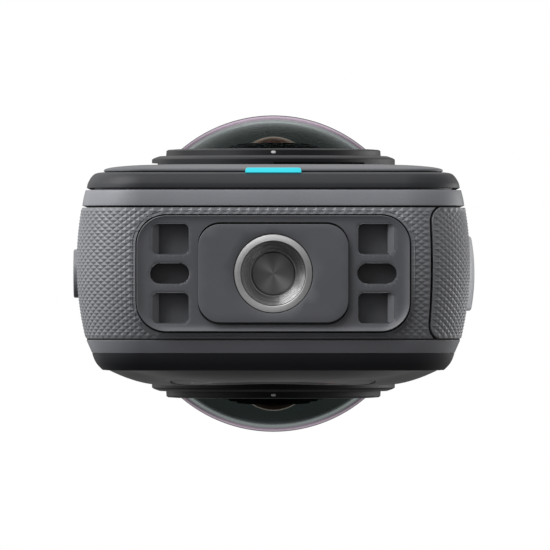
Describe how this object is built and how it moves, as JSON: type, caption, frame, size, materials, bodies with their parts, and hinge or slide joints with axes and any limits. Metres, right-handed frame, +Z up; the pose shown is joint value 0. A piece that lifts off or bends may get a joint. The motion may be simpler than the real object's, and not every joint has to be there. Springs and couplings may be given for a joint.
{
  "type": "360 degree camera",
  "caption": "Pocket 360 degree camera: knurled bar body, a domed fisheye lens on each face, touchscreen, side battery door and tripod bush",
  "frame": {"origin": "centre of the tripod bush's face, in the plane that the camera stands on", "axes": "+Z up along the long axis of the body, +Y out of the status light side, -Y out of the screen, -X out of the battery side"},
  "size_m": [0.047, 0.0382, 0.1245],
  "materials": {
    "grip_skin": "fine matte, diamond knurl",
    "trim": "smooth fine matte",
    "housing": "satin, moulded",
    "panel": "satin, moulded",
    "base": "fine matte, moulded",
    "bush_metal": "turned, brushed floor",
    "lens_black": "semi-gloss black",
    "lens_glass": "clear, coated",
    "element_glass": "warm coating",
    "barrel_black": "matte black",
    "status_lens": "translucent, lit",
    "screen": "polished cover glass",
    "display": "panel stack",
    "key": "fine matte",
    "seal_rubber": "moulded",
    "frame_plastic": "glass-filled, moulded",
    "carrier_metal": "machined",
    "screw_steel": "black-plated",
    "board": "solder mask",
    "can_metal": "tinned",
    "sensor": "cover glass",
    "cell": "moulded case",
    "small_black": "moulded",
    "mesh": "woven, dark"
  },
  "bodies": {
    "camera": {"grip_band": "grip_skin", "front_trim": "trim", "rear_trim": "trim", "front_cover": "housing", "rear_cover": "housing", "front_panel": "panel", "rear_panel": "panel", "base_plate": "base", "tripod_pad": "base", "tripod_bush": "bush_metal", "front_lens_mount": "lens_black", "rear_lens_mount": "lens_black", "front_inner_element": "element_glass", "rear_inner_element": "element_glass", "front_lens_barrel": "barrel_black", "rear_lens_barrel": "barrel_black", "status_light": "status_lens", "screen_glass": "screen", "display_module": "display", "front_gasket": "seal_rubber", "rear_gasket": "seal_rubber", "mid_frame": "frame_plastic", "battery_tray": "frame_plastic", "battery_contacts": "frame_plastic", "lens_carrier": "carrier_metal", "heat_spreader": "carrier_metal", "cover_screws": "screw_steel", "usb_door_pin": "screw_steel", "main_board": "board", "side_key_board": "board", "rear_key_board": "board", "front_sensor_board": "board", "rear_sensor_board": "board", "board_shields": "can_metal", "usb_port": "can_metal", "card_socket": "can_metal", "microphones": "can_metal", "front_image_sensor": "sensor", "rear_image_sensor": "sensor", "speaker": "small_black", "antenna": "small_black", "mic_meshes": "mesh"},
    "battery": {"battery_cap": "grip_skin", "battery_seal": "seal_rubber", "battery_pack": "cell"},
    "latch": {"battery_latch": "key"},
    "cable_door": {"usb_door": "grip_skin", "usb_seal": "seal_rubber"},
    "power_key": {"power_button": "key"},
    "quick_key": {"quick_button": "key"},
    "shutter_key": {"shutter_button": "key"},
    "lens_key": {"lens_button": "key"},
    "front_lens": {"front_lens_ring": "lens_black", "front_dome_glass": "lens_glass", "front_lens_seal": "seal_rubber"},
    "rear_lens": {"rear_lens_ring": "lens_black", "rear_dome_glass": "lens_glass", "rear_lens_seal": "seal_rubber"},
    "card": {"memory_card": "small_black"}
  },
  "joints": [
    {"name": "battery_slide", "type": "slide", "parent": "camera", "child": "battery", "axis": [-1, 0, 0], "range_m": [0, 0.028]},
    {"name": "latch_slide", "type": "slide", "parent": "battery", "child": "latch", "axis": [0, 0, -1], "range_m": [0, 0.0025], "stiffness_N_per_m": 200},
    {"name": "cable_door_hinge", "type": "hinge", "parent": "camera", "child": "cable_door", "pos_m": [-0.02135, 0, 0.07595], "axis": [0, -1, 0], "range_deg": [0, 95]},
    {"name": "power_press", "type": "slide", "parent": "camera", "child": "power_key", "axis": [-1, 0, 0], "range_m": [0, 0.00035], "stiffness_N_per_m": 3000},
    {"name": "quick_press", "type": "slide", "parent": "camera", "child": "quick_key", "axis": [-1, 0, 0], "range_m": [0, 0.00035], "stiffness_N_per_m": 3000},
    {"name": "shutter_press", "type": "slide", "parent": "camera", "child": "shutter_key", "axis": [0, 1, 0], "range_m": [0, 0.0004], "stiffness_N_per_m": 3000},
    {"name": "lens_key_press", "type": "slide", "parent": "camera", "child": "lens_key", "axis": [0, 1, 0], "range_m": [0, 0.0004], "stiffness_N_per_m": 3000},
    {"name": "front_lens_twist", "type": "hinge", "parent": "camera", "child": "front_lens", "pos_m": [0, 0.0125, 0.1023], "axis": [0, 1, 0], "range_deg": [0, 35]},
    {"name": "rear_lens_twist", "type": "hinge", "parent": "camera", "child": "rear_lens", "pos_m": [0, -0.0125, 0.1023], "axis": [0, -1, 0], "range_deg": [0, 35]},
    {"name": "card_push", "type": "slide", "parent": "camera", "child": "card", "axis": [1, 0, 0], "range_m": [0, 0.0007], "stiffness_N_per_m": 500}
  ]
}
